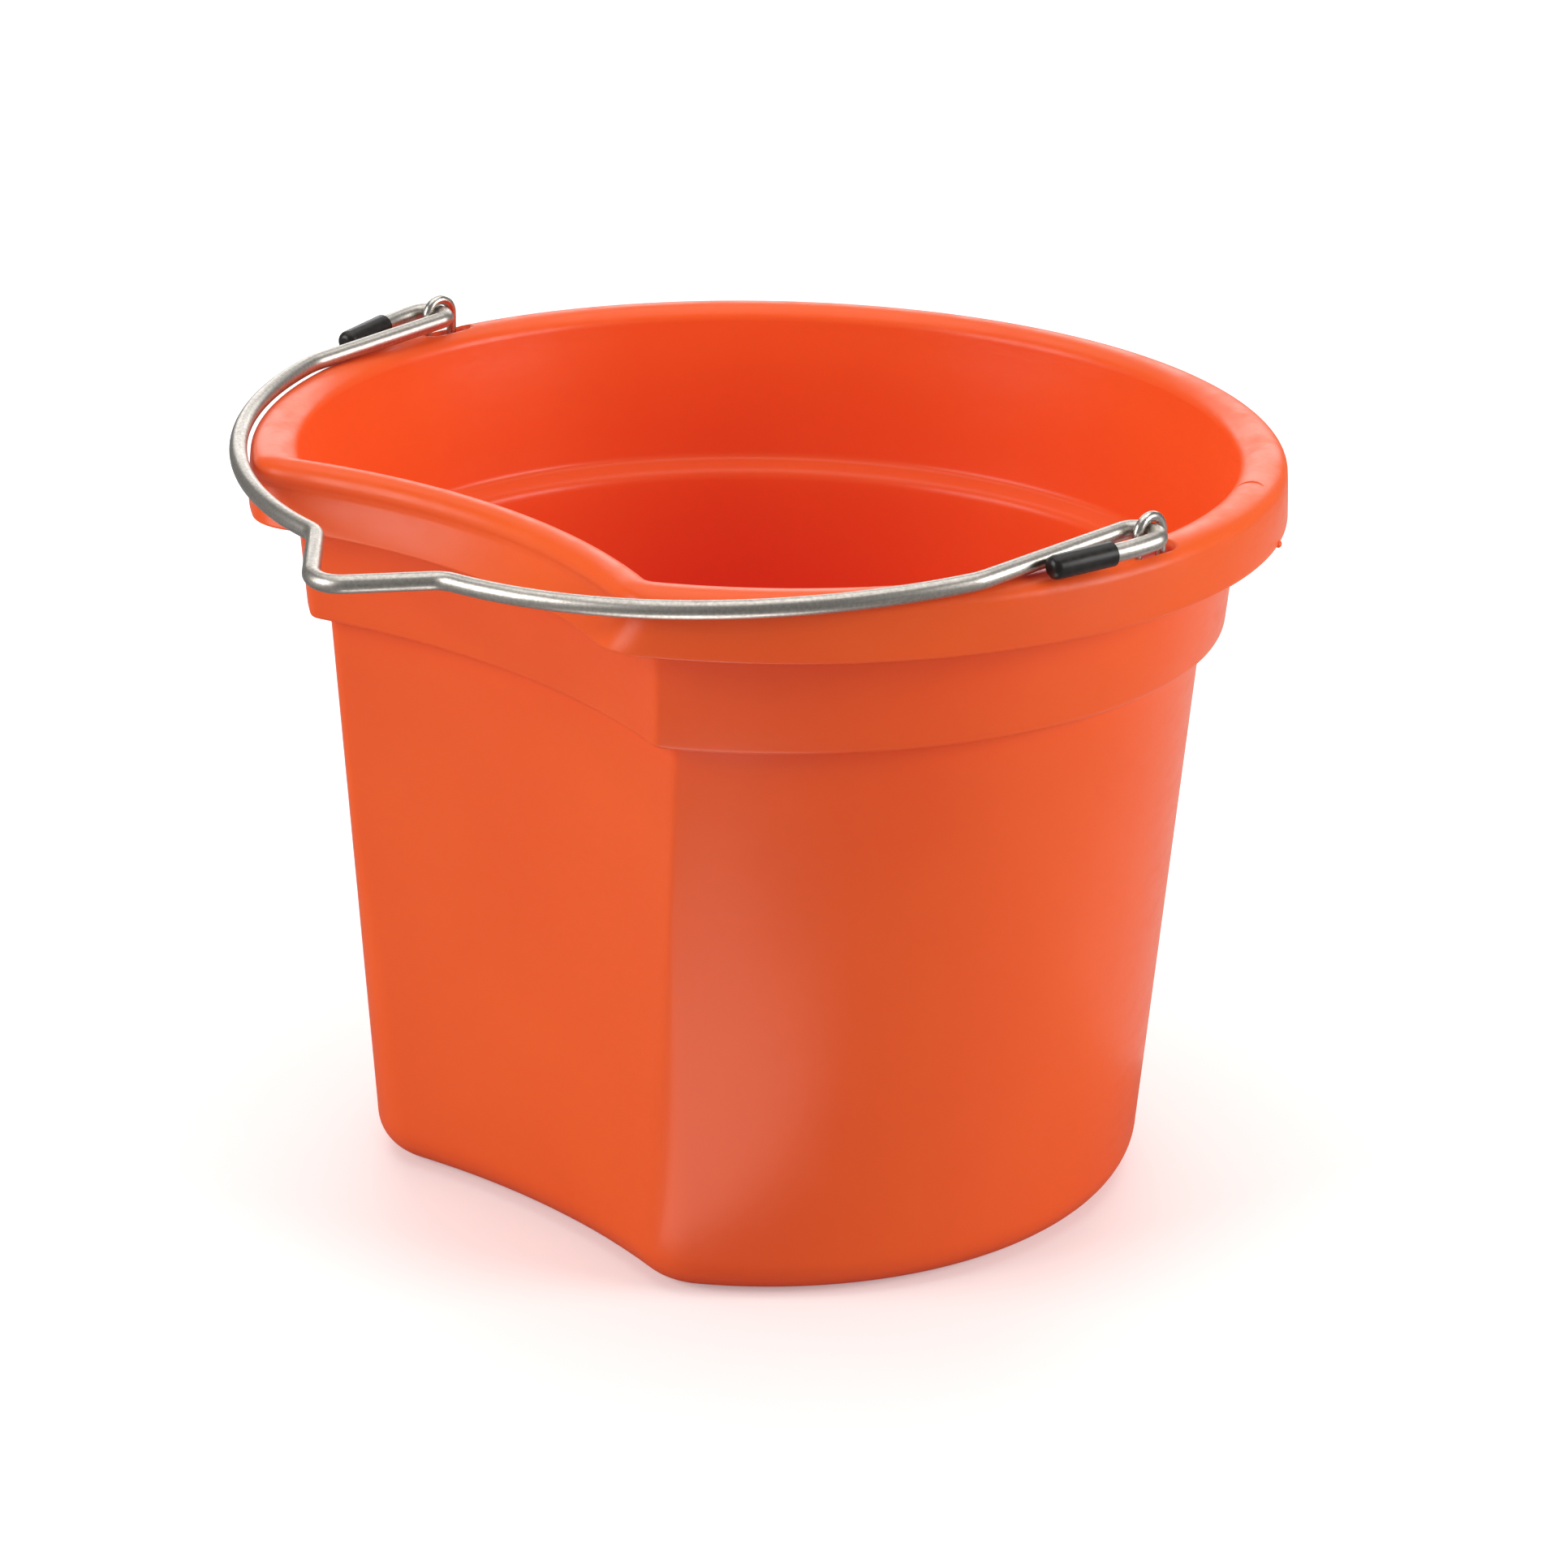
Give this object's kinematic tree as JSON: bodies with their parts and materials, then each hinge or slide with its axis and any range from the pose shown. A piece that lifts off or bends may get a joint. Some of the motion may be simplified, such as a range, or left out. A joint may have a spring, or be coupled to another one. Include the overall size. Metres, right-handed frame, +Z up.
{
  "type": "flat-back feed bucket",
  "caption": "Round-fronted moulded pail with a hollowed flat back, rolled rim, stepped collar and a notched wire bail hooked on two wire ears.",
  "frame": {"origin": "on the floor under the bucket, on the axis of its round front", "axes": "+Z up, +Y towards the flat back that faces a wall, +X towards the right ear when facing the wall"},
  "size_m": [0.292, 0.3056, 0.2215],
  "materials": {
    "orange_plastic": "satin gloss moulded polyethylene",
    "galvanised_wire": "drawn galvanised wire with fine streaks",
    "ear_steel": "bright drawn wire",
    "black_vinyl": "dipped vinyl, soft sheen"
  },
  "bodies": {
    "bucket": {"bucket_body": "orange_plastic"},
    "bail": {"bail_wire": "galvanised_wire", "left_tip_cap": "black_vinyl", "right_tip_cap": "black_vinyl"},
    "left_ear_body": {"left_ear": "ear_steel"},
    "right_ear_body": {"right_ear": "ear_steel"}
  },
  "joints": [
    {"name": "bail_swing", "type": "hinge", "parent": "bucket", "child": "bail", "pos_m": [0, 0, 0.2161], "axis": [1, 0, 0], "range_deg": [0, 186]},
    {"name": "left_ear_rock", "type": "hinge", "parent": "bucket", "child": "left_ear_body", "pos_m": [-0.138, 0, 0.2054], "axis": [0, 1, 0], "range_deg": [-3, 3]},
    {"name": "right_ear_rock", "type": "hinge", "parent": "bucket", "child": "right_ear_body", "pos_m": [0.138, 0, 0.2054], "axis": [0, 1, 0], "range_deg": [-3, 3]}
  ]
}
